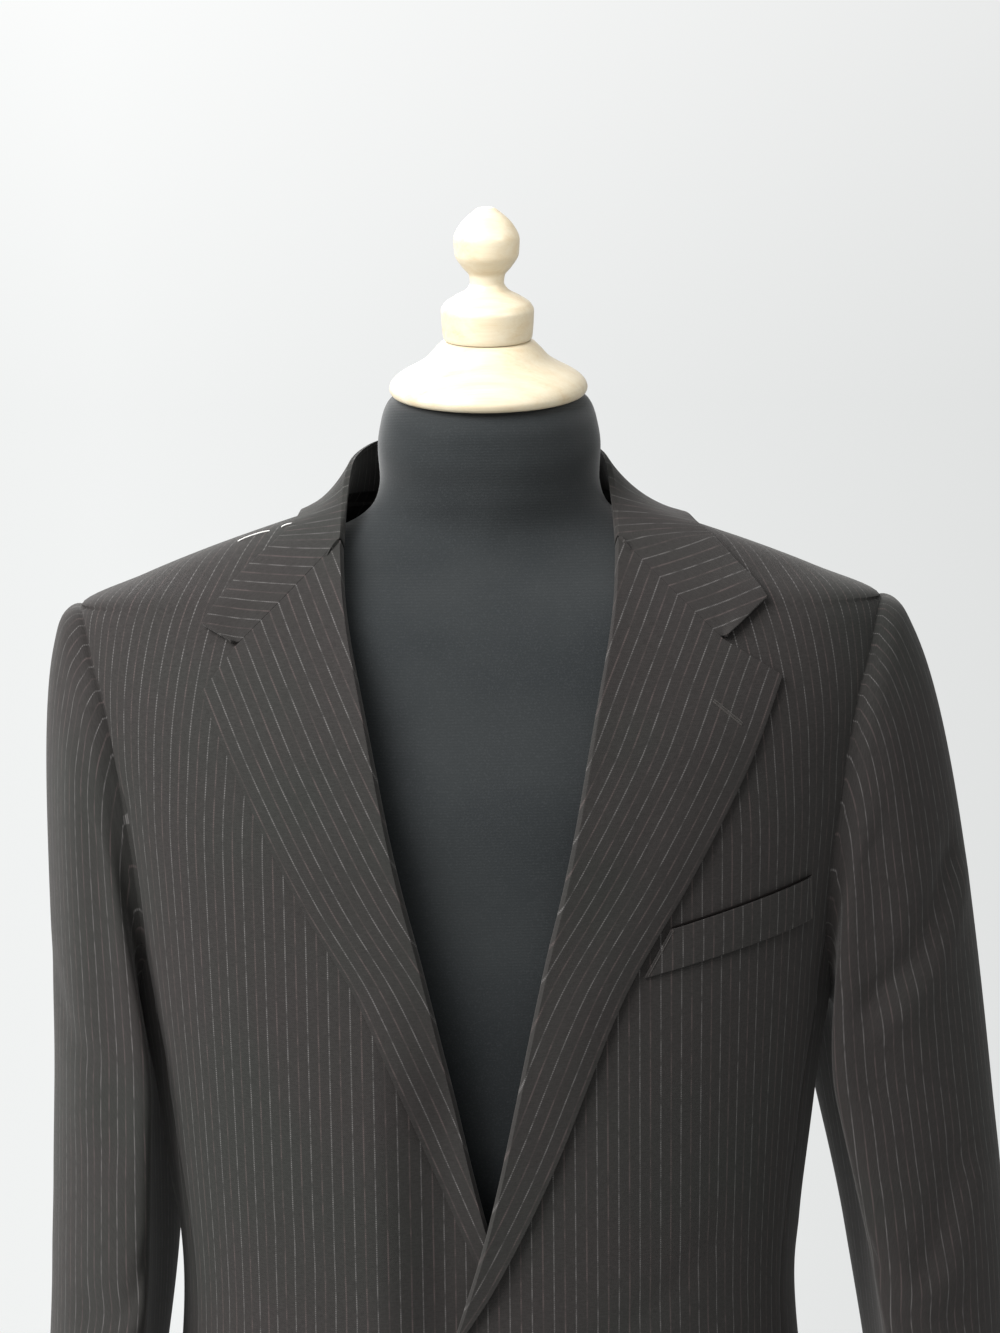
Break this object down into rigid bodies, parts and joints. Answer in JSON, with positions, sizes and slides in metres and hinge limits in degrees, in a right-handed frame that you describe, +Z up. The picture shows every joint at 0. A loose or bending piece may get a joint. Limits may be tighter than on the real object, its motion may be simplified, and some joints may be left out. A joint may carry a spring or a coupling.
{
  "type": "two-piece suit on dress form",
  "caption": "Pinstriped two-piece suit, notch-lapel jacket and trousers, hung in its worn shape on a limbless dress form with a turned wooden neck cap and a round floor stand.",
  "frame": {"origin": "centre of the stand's underside, on the floor", "axes": "+Z up along the form, -Y the wearer's front, +X the wearer's left"},
  "size_m": [0.57, 0.38, 1.6566],
  "materials": {
    "suit_cloth": "fine worsted wool, dark charcoal brown with pale pin-dot stripes",
    "form_cloth": "black stretch jersey",
    "beech": "pale turned wood, satin varnish",
    "horn": "dark polished button",
    "steel": "satin steel"
  },
  "bodies": {
    "root": {"breast_welt": "suit_cloth", "collar": "suit_cloth", "dress_form": "form_cloth", "fly_facing": "suit_cloth", "front_button_low": "horn", "front_button_top": "horn", "hip_flap_left": "suit_cloth", "hip_flap_right": "suit_cloth", "jacket_back_left": "suit_cloth", "jacket_back_right": "suit_cloth", "jacket_front_left": "suit_cloth", "jacket_front_right": "suit_cloth", "jacket_side_left": "suit_cloth", "jacket_side_right": "suit_cloth", "lapel_left": "suit_cloth", "lapel_right": "suit_cloth", "neck_cap": "beech", "neck_knob": "beech", "pocket_jet_left": "suit_cloth", "pocket_jet_right": "suit_cloth", "sleeve_button_left_1": "horn", "sleeve_button_left_2": "horn", "sleeve_button_left_3": "horn", "sleeve_button_left_4": "horn", "sleeve_button_right_1": "horn", "sleeve_button_right_2": "horn", "sleeve_button_right_3": "horn", "sleeve_button_right_4": "horn", "sleeve_under_left": "suit_cloth", "sleeve_under_right": "suit_cloth", "sleeve_upper_left": "suit_cloth", "sleeve_upper_right": "suit_cloth", "stand_base": "steel", "stand_pole": "steel", "trouser_back_left": "suit_cloth", "trouser_back_right": "suit_cloth", "trouser_front_left": "suit_cloth", "trouser_front_right": "suit_cloth", "waistband": "suit_cloth"}
  },
  "joints": []
}
